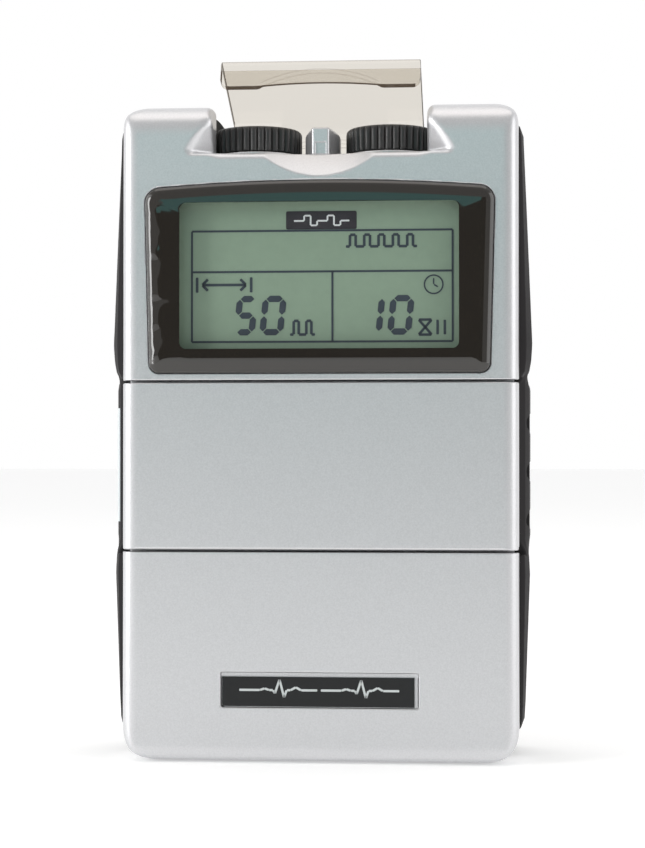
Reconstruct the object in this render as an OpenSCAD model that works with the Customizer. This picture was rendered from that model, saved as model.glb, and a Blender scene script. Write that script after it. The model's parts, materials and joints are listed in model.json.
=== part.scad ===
// Pocket nerve stimulator: two-part case, overmoulded grips, flip panel over the buttons,
// two level knobs under a hinged guard, display, boards, battery and belt clip.
// Origin at the centre of the base. +Z is up, the display faces -Y.

/* [Case] */
// Width of the case across its flat sides
body_w = 61; // [59:0.5:63]
// Depth of the case from front face to back face
body_d = 23.5; // [23:0.5:25]
// Height of the case at its shoulders
body_h = 101; // [100:0.5:103]
// Wall thickness of both case halves
wall = 1.8; // [1.5:0.1:2]
// Depth of the parting plane behind the front face
split_d = 11; // [10.5:0.25:11.5]
// Radius of the two lower corners, seen from the front
corner_low_r = 5.5; // [4:0.5:7]
// Radius of the two outer shoulder corners
corner_high_r = 4; // [3:0.5:5]
// Radius of the front edge at the top of the shoulders
shoulder_edge_r = 5.5; // [4:0.5:6]
// Radius of the long edges of the case
edge_r = 2.5; // [2:0.25:3]

/* [Knob recess] */
// Half the width of the recess between the shoulders
recess_half = 16.5; // [16:0.25:17]
// Height of the recess floor
recess_z = 93.3; // [93:0.1:93.5]
// Radius of a level knob
knob_r = 7; // [6.5:0.25:7]
// Height of a level knob
knob_h = 3.9; // [3.4:0.1:4]
// Number of grooves round a knob
knob_grooves = 36; // [24:2:40]
// Distance of each knob axis from the middle
knob_x = 10.5; // [10.5:0.1:10.7]

/* [Guard cover] */
// Opening angle of the guard from closed, as it stands at rest
guard_open = 23; // [0:1:80]
// Width of the guard cover
guard_w = 31; // [30:0.25:31.5]
// Thickness of the guard's sheet
guard_t = 1.2; // [1:0.1:1.4]

/* [Flip panel] */
// Height of the panel's lower edge
panel_low = 32.35; // [32.3:0.05:32.5]
// Height of the panel's upper edge
panel_high = 57.95; // [57:0.05:58]
// Thickness of the panel's skin
panel_t = 1.7; // [1.5:0.1:1.8]
// Depth of the panel's side returns
panel_return_d = 3.9; // [3:0.1:3.9]

/* [Display] */
// Half the width of the lens at its top
lens_half_top = 26.85; // [26:0.05:27]
// Half the width of the lens at its bottom
lens_half_low = 26.1; // [25.5:0.05:26.2]
// Height of the lens's lower edge
lens_low = 59.4; // [59.4:0.1:60]
// Height of the lens at the top of its arch
lens_crest = 88.9; // [88:0.1:89]
// Radius of the arched top edge
lens_arch_r = 307; // [250:1:400]
// How far the lens stands in front of the case
lens_raise = 1; // [0.6:0.1:1.2]
// Depth of the seat that holds the lens
lens_seat = 1.2; // [1:0.1:1.3]

/* [Buttons] */
// Radius of a push button
button_r = 3.5; // [3:0.25:4]
// Height of the button row
button_z = 45; // [44:0.5:46]
// Travel of a push button
button_travel = 0.6; // [0.4:0.1:0.6]

/* [Lead sockets] */
// Distance of each socket from the middle
socket_x = 23.2; // [23:0.1:23.4]
// Radius of the socket's body
socket_r = 3; // [2.5:0.1:3]
// Radius of the hole that takes the lead's pin
socket_bore_r = 1.45; // [1.2:0.05:1.6]
// Depth of the hole that takes the lead's pin
socket_bore_l = 11; // [9:0.5:12]

/* [Battery] */
// Length of the battery without its terminals
battery_l = 46.4; // [46:0.1:46.6]
// Width of the battery
battery_w = 26.5; // [25.5:0.5:26.5]
// Thickness of the battery
battery_t = 17.5; // [16.5:0.5:17.5]

/* [Belt clip] */
// Width of the belt clip
clip_w = 18; // [14:1:20]
// Room between the clip and the back for a belt
belt_gap = 4.6; // [4:0.1:5]
// Thickness of the clip's arm
clip_t = 1.6; // [1.4:0.1:2]

/* [Hidden] */
$fn = 64;

// Far enough to cut right through the case in any direction
far = 150;
half_w = body_w / 2;
// Small gap between neighbouring pieces that don't fit tightly
gap = 0.3;

// Case interior and bay behind the flip panel
seam_t = 0.4;
bay_low = panel_low - 0.35;
bay_high = panel_high + seam_t;
plate_d = 4.3;
plate_t = 1.6;
plate_back = plate_d + plate_t;
shelf_t = 1.6;

// Grips
grip_seat_x = half_w - 0.7;
grip_low = 4.9;
grip_high = 97.5;
grip_front = 2.6;
grip_back = 22.4;
grip_max_x = half_w + 2.1;
grip_corner_r = 3;
dimple_z = [59.3, 51.8, 44.3, 36.8];
dimple_h = 2.6;
dimple_l = 7;
dimple_deep = 0.5;
waist_d = 12;
label_low = 36.5;
label_high = 54.2;
label_l = 12;
label_t = 0.15;

// Knob recess
rear_wall_d = 18.9;
rear_wall_z = 94;
pocket_r = knob_r + 0.7;
collar_r = 7.2;
collar_top = 94;
knob_low = 94.2;
shaft_r = 1.5;
shaft_bore_r = 1.55;
shaft_hole_r = 2;
post_top = 97.6;
front_lip_r = 1.8;
scoop_r = 19.5;
scoop_z = 89.6;
scoop_tilt = 51;
scoop_reach = 20;

// Guard cover, drawn closed and then turned about its hinge
hinge_d = 20.6;
hinge_z = 95.6;
barrel_r = 1.3;
guard_top = 100.9;
guard_front_d = 0.23;
guard_flange = 5;
guard_pin_r = 0.8;
guard_bore_r = 0.85;
guard_pin_x = 17.9;

// Flip panel hinge
panel_hinge_d = 1.15;
panel_hinge_z = panel_low + panel_hinge_d;
wire_r = 0.25;
wire_bore_r = 0.29;
wire_half = 28.6;
lug_r = 0.55;
lug_x = 27.2;
lug_w = 1.2;
lug_slot_w = 1.8;
lug_skin = 0.35;
lug_slot_rise = 0.85;

// Display stack
window_half = 21.9;
window_low = 62.6;
window_high = 86;
glass_half = 23.2;
glass_low = 61.5;
glass_high = 87.5;
glass_front = 2.2;
glass_back = 4.4;
frame_back = 5.2;

// Boards and what they carry
board_front = 9;
board_t = 1.2;
board_back = board_front + board_t;
board_half = 23.2;
board_low = 34;
board_high = 82;
ctrl_z = 83.2;
ctrl_t = 1.2;
ctrl_half = 19;
ctrl_front = 6;
ctrl_back = 20;
pot_half = 6;
pot_high = 91.2;
pot_front = 5.6;
pot_back = 16.4;
button_xs = [-19, -6.5, 6.5, 19];
button_top_d = 3;
flange_d = plate_back + gap;
flange_t = 0.5;
switch_top = flange_d + flange_t + button_travel + gap;
board_screw_x = 20.8;
board_screw_zs = [36.4, 56.2];

// Nameplate in its shallow seat
name_seat = [-15, 15.2, 8.3, 13.7];
name_size = [-14.8, 14.6, 8.5, 13];
name_seat_t = 0.5;
name_t = 0.3;

// Lead sockets
socket_low = 88;
socket_high = 100.8;

// Battery bay
battery_x = -25.6;
battery_z = 2.4;
battery_d = 4.1;
terminal_l = 2.1;
contact_x = 23.2;
contact_t = 0.8;
rib_t = 1.2;
door_half = 26.5;
door_front = 21.9;
door_low = 0.1;
door_high = 31;
lip_w = 1.1;
lip_front = 22.15;
lip_t = 0.6;

// Screws that hold the case halves together
screw_x = 26.4;
screw_zs = [36, 80];
screw_r = 1;
screw_head_r = 2;
screw_seat_d = 19;
boss_r = 2.5;

// Belt clip and its pin
clip_pin_d = body_d + 2.6;
clip_pin_z = 84;
clip_pin_r = 1;
clip_bore_r = 1.05;
clip_low = 36;
clip_knuckle_r = 2.1;
clip_lug_t = 2;
clip_slot_half = 3.2;
clip_tab_h = 8;
clip_tip_gap = 0.4;
spring_r = 1.75;
spring_bore_r = 1.25;

// Y of a depth behind the front face
function y_of(d) = d - body_d / 2;

// Points of a circular arc, from angle a0 to angle a1 in n steps
function arc(cx, cz, r, a0, a1, n) =
    [for (i = [0:n]) let (a = a0 + (a1 - a0) * i / n) [cx + r * cos(a), cz + r * sin(a)]];

// Extrude an outline in X and Z between two depths
module along_y(d0, d1) {
    translate([0, y_of(d1), 0]) rotate([90, 0, 0]) linear_extrude(d1 - d0) children();
}

// Extrude an outline in Y and Z between two X
module along_x(x0, x1) {
    translate([x0, 0, 0]) rotate([90, 0, 90]) linear_extrude(x1 - x0) children();
}

// A box between two X, two depths and two heights
module block(x0, x1, d0, d1, z0, z1) {
    translate([x0, y_of(d0), z0]) cube([x1 - x0, d1 - d0, z1 - z0]);
}

// A cylinder along Y between two depths
module rod_y(x, z, r, d0, d1) {
    translate([x, y_of(d0), z]) rotate([-90, 0, 0]) cylinder(r = r, h = d1 - d0);
}

// A cylinder along Z between two heights
module rod_z(x, d, r, z0, z1) {
    translate([x, y_of(d), z0]) cylinder(r = r, h = z1 - z0);
}

// A cylinder along X between two X
module rod_x(d, z, r, x0, x1) {
    translate([x0, y_of(d), z]) rotate([0, 90, 0]) cylinder(r = r, h = x1 - x0);
}

// Rectangle with its own radius at each corner: low left, low right, high right, high left
module rounded(x0, x1, z0, z1, r) {
    polygon([
        [x0 + r[0], z0], [x1 - r[1], z0], [x1, z0 + r[1]], [x1, z1 - r[2]],
        [x1 - r[2], z1], [x0 + r[3], z1], [x0, z1 - r[3]], [x0, z0 + r[0]]
    ]);
    translate([x0 + r[0], z0 + r[0]]) circle(r[0]);
    translate([x1 - r[1], z0 + r[1]]) circle(r[1]);
    translate([x1 - r[2], z1 - r[2]]) circle(r[2]);
    translate([x0 + r[3], z1 - r[3]]) circle(r[3]);
}

// The whole outer form, or the hollow when inset is the wall thickness
module body_form(inset) {
    low_r = corner_low_r - inset;
    high_r = corner_high_r - inset;
    long_r = edge_r - inset;
    intersection() {
        along_y(inset, body_d - inset)
            rounded(inset - half_w, half_w - inset, inset, body_h - inset,
                    [low_r, low_r, high_r, high_r]);
        along_x(-half_w, half_w)
            rounded(y_of(inset), y_of(body_d - inset), inset, body_h - inset,
                    [long_r, long_r, long_r, shoulder_edge_r - inset]);
        linear_extrude(body_h)
            rounded(inset - half_w, half_w - inset, y_of(inset), y_of(body_d - inset),
                    [long_r, long_r, long_r, long_r]);
    }
}

// Space between the shoulders, with rounded shoulder edges
module recess_outline(half, floor_z, r) {
    difference() {
        translate([-half - r, floor_z]) square([2 * (half + r), far]);
        for (s = [-1, 1]) translate([s * (half + r), floor_z]) {
            translate([-r, 0]) square([2 * r, body_h - floor_z - r]);
            translate([0, body_h - floor_z - r]) circle(r);
        }
    }
}

// Everything cut away above the recess floor
module recess_cut() {
    along_y(-1, rear_wall_d) recess_outline(recess_half, recess_z, 2.2);
    along_y(rear_wall_d, body_d + 1) recess_outline(recess_half, rear_wall_z, 2.2);
    for (s = [-1, 1]) rod_z(s * knob_x, split_d, pocket_r, recess_z, far);
}

// The hollow inside both halves
module hollow() {
    difference() {
        body_form(wall);
        block(-recess_half - wall, recess_half + wall, 0, body_d, recess_z - wall, far);
        for (s = [-1, 1])
            rod_z(s * knob_x, split_d, pocket_r + wall, recess_z - wall, far);
    }
}

// One half of the empty case between two depths
module case_half(d0, d1) {
    difference() {
        intersection() {
            body_form(0);
            block(-half_w, half_w, d0, d1, 0, body_h);
        }
        recess_cut();
        hollow();
    }
}

// Seats for the grips in both sides
module grip_seats() {
    for (s = [0, 1]) mirror([s, 0, 0])
        block(grip_seat_x, half_w + 1, grip_front, grip_back, grip_low, grip_high);
}

// Low collars under the knobs
module collars() {
    for (s = [-1, 1]) rod_z(s * knob_x, split_d, collar_r, recess_z - 0.5, collar_top);
}

// Holes that both halves share: knob shafts and lead sockets
module shared_holes() {
    for (s = [-1, 1]) {
        rod_z(s * knob_x, split_d, shaft_hole_r, recess_z - wall - 1, collar_top + 1);
        rod_z(s * socket_x, split_d, socket_r + 0.05, socket_low, body_h + 1);
    }
}

// Lens outline, shrunk all round by inset
module lens_outline(inset) {
    top = lens_half_top - inset;
    low = lens_half_low - inset;
    z0 = lens_low + inset;
    high_r = 2.2;
    low_r = 1.5;
    x_arch = top - high_r;
    crest = lens_crest - inset;
    z_arch = crest - lens_arch_r + sqrt(pow(lens_arch_r, 2) - pow(x_arch, 2));
    sweep = asin(x_arch / lens_arch_r);
    polygon(concat(
        arc(low - low_r, z0 + low_r, low_r, -90, 0, 6),
        arc(x_arch, z_arch - high_r, high_r, 0, 90 - sweep, 6),
        arc(0, crest - lens_arch_r, lens_arch_r, 90 - sweep, 90 + sweep, 14),
        arc(-x_arch, z_arch - high_r, high_r, 90 + sweep, 180, 6),
        arc(-low + low_r, z0 + low_r, low_r, 180, 270, 6)
    ));
}

// Post between the knobs: narrow in front, wide in the middle
module centre_post() {
    linear_extrude(post_top)
        polygon([
            [-1.3, y_of(3.6)], [1.3, y_of(3.6)], [2.7, y_of(8)], [2.7, y_of(split_d)],
            [-2.7, y_of(split_d)], [-2.7, y_of(8)]
        ]);
}

// Finger scoop in the front wall below the guard: a round groove that rises towards the back
module finger_scoop() {
    translate([0, y_of(0), scoop_z]) rotate([scoop_tilt, 0, 0])
        rotate([-90, 0, 0]) translate([0, -scoop_r, -scoop_reach])
            cylinder(r = scoop_r, h = 2 * scoop_reach);
}

// Two lugs in the bay that hold the ends of the flip panel's wire
module panel_lugs() {
    for (s = [-1, 1]) {
        rod_x(panel_hinge_d, panel_hinge_z, lug_r, s * lug_x - lug_w / 2, s * lug_x + lug_w / 2);
        block(s * lug_x - lug_w / 2, s * lug_x + lug_w / 2, panel_hinge_d, plate_d + 0.5,
              panel_hinge_z - lug_r, panel_hinge_z + lug_r);
    }
}

module front_case() {
    color("silver") difference() {
        union() {
            case_half(0, split_d);
            panel_lugs();
            block(-half_w, half_w, plate_d, plate_back, bay_low - shelf_t, bay_high + shelf_t);
            block(-28.8, 28.8, 1, split_d, bay_low - shelf_t, bay_low);
            block(-28.8, 28.8, 1, plate_back, bay_high, bay_high + shelf_t);
            block(contact_x + contact_t, contact_x + contact_t + rib_t, 1, split_d, 1, bay_low);
            for (s = [-1, 1], z = screw_zs) rod_y(s * screw_x, z, boss_r, 1.2, split_d);
            for (s = [-1, 1], z = board_screw_zs)
                rod_y(s * board_screw_x, z, 2, plate_back - 0.5, board_front);
            intersection() {
                collars();
                block(-half_w, half_w, 0, split_d, recess_z - 1, body_h);
            }
            intersection() {
                centre_post();
                block(-3, 3, 0, split_d, recess_z - 0.5, body_h);
            }
        }
        difference() {
            block(-far, far, -1, plate_d, bay_low, bay_high);
            panel_lugs();
        }
        rod_x(panel_hinge_d, panel_hinge_z, wire_r, -wire_half, wire_half);
        along_y(-1, lens_seat) lens_outline(-0.05);
        block(-window_half, window_half, -1, 3, window_low, window_high);
        for (x = button_xs) rod_y(x, button_z, button_r + gap, 0, plate_back + 0.1);
        for (s = [-1, 1], z = screw_zs) rod_y(s * screw_x, z, screw_r, 5, split_d + 1);
        for (s = [-1, 1], z = board_screw_zs)
            rod_y(s * board_screw_x, z, 0.8, plate_back, board_front + 1);
        block(name_seat[0], name_seat[1], -1, name_seat_t, name_seat[2], name_seat[3]);
        along_x(-recess_half, recess_half) difference() {
            translate([y_of(-1), recess_z - front_lip_r]) square(front_lip_r + 1);
            translate([y_of(front_lip_r), recess_z - front_lip_r]) circle(front_lip_r);
        }
        finger_scoop();
        grip_seats();
        shared_holes();
    }
}

module rear_case() {
    color([0.12, 0.12, 0.12]) difference() {
        union() {
            case_half(split_d, body_d);
            block(-28.8, 28.8, split_d, body_d - 1, bay_low - shelf_t, bay_low);
            for (s = [0, 1]) mirror([s, 0, 0])
                block(door_half + gap, half_w - 1, door_front - 2.4, body_d - edge_r,
                      corner_low_r, bay_low);
            for (s = [-1, 1], z = screw_zs)
                rod_y(s * screw_x, z, boss_r + 0.4, split_d, body_d - 1);
            intersection() {
                collars();
                block(-half_w, half_w, split_d, body_d, recess_z - 1, body_h);
            }
            for (s = [0, 1]) mirror([s, 0, 0]) clip_lug();
        }
        block(-door_half - gap, door_half + gap, door_front - gap, body_d + 1, -1,
              door_high + gap);
        for (s = [0, 1]) mirror([s, 0, 0])
            block(door_half, door_half + lip_w + gap, lip_front - gap, lip_front + lip_t + gap,
                  -1, door_high + gap);
        block(contact_x - 0.5, contact_x + contact_t + rib_t + 0.1, split_d, split_d + 1, 3, 28);
        for (s = [-1, 1], z = screw_zs) {
            rod_y(s * screw_x, z, screw_r + 0.2, split_d - 1, body_d);
            rod_y(s * screw_x, z, screw_head_r + 0.2, screw_seat_d, body_d + 1);
        }
        for (s = [0, 1]) mirror([s, 0, 0])
            rod_x(hinge_d, hinge_z, guard_bore_r, recess_half - 1, guard_pin_x + 0.2);
        rod_x(clip_pin_d, clip_pin_z, clip_pin_r, -20, 20);
        grip_seats();
        shared_holes();
    }
}

// Lug that carries one end of the belt clip's pin
module clip_lug() {
    x0 = clip_w / 2 + gap;
    along_x(x0, x0 + clip_lug_t) {
        translate([y_of(clip_pin_d), clip_pin_z]) circle(clip_knuckle_r);
        translate([y_of(body_d - 0.5), clip_pin_z - clip_knuckle_r])
            square([clip_pin_d - body_d + 0.5, 2 * clip_knuckle_r]);
    }
}

// Outline of a grip's outer side, from the bottom up
module grip_outline() {
    polygon([
        [grip_seat_x, grip_low], [half_w + 0.2, grip_low], [half_w + 0.9, 6.2],
        [half_w + 1, 9], [half_w + 1.7, 28.6], [half_w + 1.6, 32], [half_w + 2, 35],
        [half_w + 2, 57], [half_w + 1.6, 59.4], [grip_max_x, 64], [half_w + 1.3, 84],
        [half_w + 0.8, 96], [half_w + 0.2, grip_high], [grip_seat_x, grip_high]
    ]);
}

// A shallow oval hollow across a grip's waist
module dimple(z) {
    reach = (dimple_l - dimple_h) / 2;
    x = half_w + 2 - dimple_deep;
    for (s = [-1, 1])
        rod_x(waist_d + s * reach, z, dimple_h / 2, x, x + 2);
    block(x, x + 2, waist_d - reach, waist_d + reach, z - dimple_h / 2, z + dimple_h / 2);
}

// Right grip. The left one is its mirror image, without the dimples behind the label
module grip(dimples) {
    slant = atan2(2, waist_d - plate_d);
    color([0.17, 0.17, 0.17]) difference() {
        intersection() {
            along_y(grip_front, grip_back) grip_outline();
            linear_extrude(body_h)
                rounded(half_w - 8, grip_max_x, y_of(grip_front), y_of(grip_back),
                        [1, grip_corner_r, grip_corner_r, 1]);
        }
        block(half_w - 2, far, 0, plate_d, bay_low - 0.4, bay_high + 0.4);
        translate([half_w, y_of(plate_d), bay_low + 1]) rotate([0, 0, -slant])
            translate([0, -10, 0]) cube([10, 10, bay_high - bay_low - 2]);
        for (z = dimples) dimple(z);
    }
}

module grip_right() { grip(dimple_z); }

module grip_left() { mirror([1, 0, 0]) grip([dimple_z[0]]); }

module panel_door() {
    color("silver") difference() {
        union() {
            intersection() {
                difference() {
                    body_form(0);
                    block(-28.9, 28.9, panel_t, body_d, 0, body_h);
                }
                block(-half_w, half_w, 0, panel_return_d, panel_hinge_z, panel_high);
            }
            intersection() {
                body_form(0);
                rod_x(panel_hinge_d, panel_hinge_z, panel_hinge_d, -half_w, half_w);
            }
        }
        for (s = [-1, 1]) {
            block(s * lug_x - lug_slot_w / 2, s * lug_x + lug_slot_w / 2, lug_skin, body_d,
                  panel_hinge_z, panel_hinge_z + lug_slot_rise);
            block(s * lug_x - lug_slot_w / 2, s * lug_x + lug_slot_w / 2, lug_skin, body_d,
                  0, panel_hinge_z + 0.01);
        }
        rod_x(panel_hinge_d, panel_hinge_z, wire_bore_r, -wire_half - gap, wire_half + gap);
    }
}

module door_wire() {
    color("lightgray") rod_x(panel_hinge_d, panel_hinge_z, wire_r, -wire_half, wire_half);
}

// Section of the closed guard: front flange, top panel and rear web
module guard_section() {
    y0 = y_of(guard_front_d);
    y1 = y_of(hinge_d + barrel_r);
    difference() {
        rounded(y0, y1, hinge_z, guard_top, [0.4, 0.4, 1.2, 1.2]);
        translate([y0 + guard_t, hinge_z - 1])
            square([y1 - y0 - 2 * guard_t, guard_top - guard_t - hinge_z + 1]);
        translate([y0 - 1, hinge_z - 1])
            square([guard_t + 2, guard_top - guard_flange - hinge_z + 1]);
    }
}

module guard_cover() {
    lip_r = 26;
    color([0.85, 0.83, 0.78, 0.45])
        translate([0, y_of(hinge_d), hinge_z]) rotate([-guard_open, 0, 0])
            translate([0, -y_of(hinge_d), -hinge_z]) {
                difference() {
                    along_x(-guard_w / 2, guard_w / 2) guard_section();
                    rod_y(0, guard_top - guard_flange - lip_r + 0.9, lip_r, -1, 3);
                }
                rod_x(hinge_d, hinge_z, barrel_r, -guard_w / 2, guard_w / 2);
                rod_x(hinge_d, hinge_z, guard_pin_r, -guard_pin_x, guard_pin_x);
            }
}

// A level knob with grooves round its rim
module knob(side) {
    groove_r = 0.3;
    color([0.15, 0.15, 0.15]) difference() {
        union() {
            translate([side * knob_x, y_of(split_d), knob_low]) {
                linear_extrude(knob_h - 0.4) difference() {
                    circle(knob_r);
                    for (i = [0:knob_grooves - 1])
                        rotate(i * 360 / knob_grooves) translate([knob_r, 0]) circle(groove_r, $fn = 24);
                }
                cylinder(r = knob_r - groove_r, h = knob_h);
            }
        }
        rod_z(side * knob_x, split_d, shaft_r, knob_low - 1, knob_low + knob_h - 0.8);
    }
}

module pot_shaft(side) {
    color("lightgray") rod_z(side * knob_x, split_d, shaft_r, ctrl_z + ctrl_t + 0.4,
                             knob_low + knob_h - 0.9);
}

// Body of a level control, bored for its shaft
module pot(side) {
    x = side * knob_x;
    color([0.25, 0.35, 0.3]) difference() {
        union() {
            block(x - pot_half, x + pot_half, pot_front, pot_back, ctrl_z + ctrl_t, pot_high - 1.2);
            rod_z(x, split_d, 3.2, pot_high - 1.3, pot_high);
        }
        rod_z(x, split_d, shaft_bore_r, ctrl_z + ctrl_t + 0.2, pot_high + 1);
    }
}

module control_board() {
    color("darkgreen")
        block(-ctrl_half, ctrl_half, ctrl_front, ctrl_back, ctrl_z, ctrl_z + ctrl_t);
}

// Right-angle pins from the main board up to the control board
module board_header() {
    color("goldenrod") {
        block(-8, 8, board_back, board_back + 2.2, board_high - 5, board_high - 2.6);
        for (i = [-3:3])
            block(i * 2 - 0.3, i * 2 + 0.3, board_back + 0.8, board_back + 1.4,
                  board_high - 2.6, ctrl_z);
    }
}

module display_lens() {
    edge = 0.9;
    color([0.12, 0.11, 0.1, 0.9]) {
        along_y(-lens_raise * 0.5, lens_seat) lens_outline(0);
        along_y(-lens_raise, -lens_raise * 0.5) lens_outline(edge);
    }
}

module lcd_glass() {
    color([0.49, 0.58, 0.49])
        block(-glass_half, glass_half, glass_front, glass_back, glass_low, glass_high);
}

module zebra_box() {
    block(-20, 20, glass_back, board_front, 62, 64);
}

module zebra_strip() { color([0.3, 0.3, 0.32]) zebra_box(); }

module lcd_frame() {
    color([0.8, 0.8, 0.78]) difference() {
        union() {
            block(-glass_half, glass_half, glass_back, frame_back, 61.4, glass_high);
            for (s = [0, 1]) mirror([s, 0, 0])
                block(21.6, glass_half, glass_back, board_front, 61.4, 76);
        }
        block(-19.5, 19.5, 4, 6, 66, 84);
        zebra_box();
    }
}

module nameplate() {
    color([0.14, 0.14, 0.14])
        block(name_size[0], name_size[1], name_seat_t - name_t, name_seat_t,
              name_size[2], name_size[3]);
}

module side_label() {
    x = -half_w - 2;
    color([0.9, 0.9, 0.88])
        block(x - label_t, x, waist_d - label_l / 2 + 1, waist_d + label_l / 2 + 1,
              label_low, label_high);
}

module main_board() {
    color("darkgreen") difference() {
        block(-board_half, board_half, board_front, board_back, board_low, board_high);
        for (s = [-1, 1], z = board_screw_zs)
            rod_y(s * board_screw_x, z, 1, board_front - 1, board_back + 1);
    }
}

module board_chips() {
    color([0.2, 0.2, 0.2]) {
        block(-8, 4, board_back, board_back + 1.6, 62, 74);
        block(-19, -12, board_back, board_back + 1.4, 64, 69);
        block(10, 15, board_back, board_back + 1.4, 66, 72);
    }
}

module capacitors() {
    color("midnightblue") {
        for (x = [-19, 19]) rod_y(x, 61, 2, board_back, board_back + 7);
        rod_y(19.5, 76, 2, board_back, board_back + 5);
    }
}

// Two small step-up transformers behind the board
module transformer_cores() {
    color("dimgray") for (s = [-1, 1]) {
        block(s * 11 - 5, s * 11 + 5, board_back, board_back + 8.5, 39, 41);
        block(s * 11 - 5, s * 11 + 5, board_back, board_back + 8.5, 49, 51);
        block(s * 11 - 1.5, s * 11 + 1.5, board_back + 2.8, board_back + 5.8, 41, 49);
    }
}

module transformer_windings() {
    color("darkgoldenrod") for (s = [-1, 1]) difference() {
        block(s * 11 - 4, s * 11 + 4, board_back + 0.5, board_back + 8, 41, 49);
        block(s * 11 - 1.5, s * 11 + 1.5, board_back + 2.8, board_back + 5.8, 40, 50);
    }
}

module tact_switches() {
    color("gray") for (x = button_xs) {
        block(x - 2.5, x + 2.5, board_front - 0.9, board_front, button_z - 2.5, button_z + 2.5);
        rod_y(x, button_z, 1.2, switch_top, board_front - 0.9);
    }
}

// A push button: cap through the plate, flange behind it
module push_button(x) {
    color([0.3, 0.32, 0.35]) {
        rod_y(x, button_z, button_r, button_top_d, flange_d);
        rod_y(x, button_z, button_r + 0.9, flange_d, flange_d + flange_t);
    }
}

// Lead socket with a blind hole for the lead's pin
module lead_socket(side) {
    x = side * socket_x;
    color([0.1, 0.1, 0.1]) difference() {
        rod_z(x, split_d, socket_r, socket_low, socket_high);
        rod_z(x, split_d, socket_bore_r, socket_high - socket_bore_l, socket_high + 1);
    }
}

module battery() {
    x1 = battery_x + battery_l;
    mid_d = battery_d + battery_t / 2;
    color([0.2, 0.22, 0.25]) {
        block(battery_x, x1, battery_d, battery_d + battery_t, battery_z, battery_z + battery_w);
        rod_x(mid_d, battery_z + 7, 2.9, x1, x1 + terminal_l);
        rod_x(mid_d, battery_z + battery_w - 7, 3.6, x1, x1 + terminal_l);
    }
}

module battery_contacts() {
    color("gainsboro")
        block(contact_x, contact_x + contact_t, battery_d + 1, battery_d + battery_t - 1,
              battery_z + 1, battery_z + battery_w - 1);
}

// Ribbon that lifts the battery out: in front of it, then under it
module battery_ribbon() {
    color([0.75, 0.2, 0.2]) {
        block(-6, 2, battery_d - 0.25, battery_d - 0.1, battery_z - 0.3, battery_z + 20);
        block(-6, 2, battery_d - 0.25, battery_d + battery_t - 2, battery_z - 0.3,
              battery_z - 0.15);
    }
}

module battery_door() {
    color([0.12, 0.12, 0.12]) difference() {
        union() {
            intersection() {
                body_form(0);
                block(-door_half, door_half, door_front, body_d, door_low, door_high);
            }
            for (s = [0, 1]) mirror([s, 0, 0])
                block(door_half - 0.5, door_half + lip_w, lip_front, lip_front + lip_t, 4, 30);
        }
        for (i = [0:4])
            block(-8, 8, body_d - 0.5, body_d + 1, 22 + i * 1.4, 22.6 + i * 1.4);
    }
}

// Belt clip: thumb tab above the pin, sprung arm below, turned-in tip
module belt_clip() {
    arm_in = body_d + belt_gap;
    arm_out = arm_in + clip_t;
    color([0.12, 0.12, 0.12]) difference() {
        union() {
            along_x(-clip_w / 2, clip_w / 2) {
                translate([y_of(arm_in), clip_low])
                    square([clip_t, clip_pin_z - clip_low + clip_tab_h]);
                translate([y_of(body_d + clip_tip_gap), clip_low]) square([belt_gap, clip_t]);
                translate([y_of(clip_pin_d), clip_pin_z]) circle(clip_knuckle_r);
                translate([y_of(clip_pin_d), clip_pin_z - clip_knuckle_r])
                    square([arm_out - clip_pin_d, 2 * clip_knuckle_r]);
            }
        }
        rod_x(clip_pin_d, clip_pin_z, clip_bore_r, -clip_w, clip_w);
        block(-clip_slot_half, clip_slot_half, body_d, arm_in, clip_pin_z - 3, clip_pin_z + 3);
    }
}

module clip_pin() {
    reach = clip_w / 2 + gap + clip_lug_t;
    color("lightgray") rod_x(clip_pin_d, clip_pin_z, clip_pin_r, -reach, reach);
}

// Torsion spring round the pin, with a leg on the case and a leg towards the arm
module clip_spring() {
    color("lightgray") difference() {
        union() {
            rod_x(clip_pin_d, clip_pin_z, spring_r, -2.6, 2.6);
            block(-2.6, -2.1, clip_pin_d - 2.2, clip_pin_d - 1.7, clip_pin_z - 7, clip_pin_z);
            block(-2.6, -2.1, clip_pin_d - 2.2, clip_pin_d - 1.2, clip_pin_z - 0.5, clip_pin_z);
        }
        rod_x(clip_pin_d, clip_pin_z, spring_bore_r, -5, 5);
    }
}

// Four screws from the back, one group of solids
module case_screws() {
    color("lightgray") for (s = [-1, 1], z = screw_zs) difference() {
        union() {
            rod_y(s * screw_x, z, screw_r, 5.4, screw_seat_d);
            rod_y(s * screw_x, z, screw_head_r, screw_seat_d, screw_seat_d + 1.4);
        }
        for (a = [0, 90]) translate([s * screw_x, y_of(screw_seat_d + 1.5), z])
            rotate([0, a, 0]) cube([0.5, 1.6, 2.4], center = true);
    }
}

module board_screws() {
    color("lightgray") for (s = [-1, 1], z = board_screw_zs) {
        rod_y(s * board_screw_x, z, 0.8, plate_back + 0.4, board_back);
        rod_y(s * board_screw_x, z, 1.5, board_back, board_back + 1);
    }
}

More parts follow.
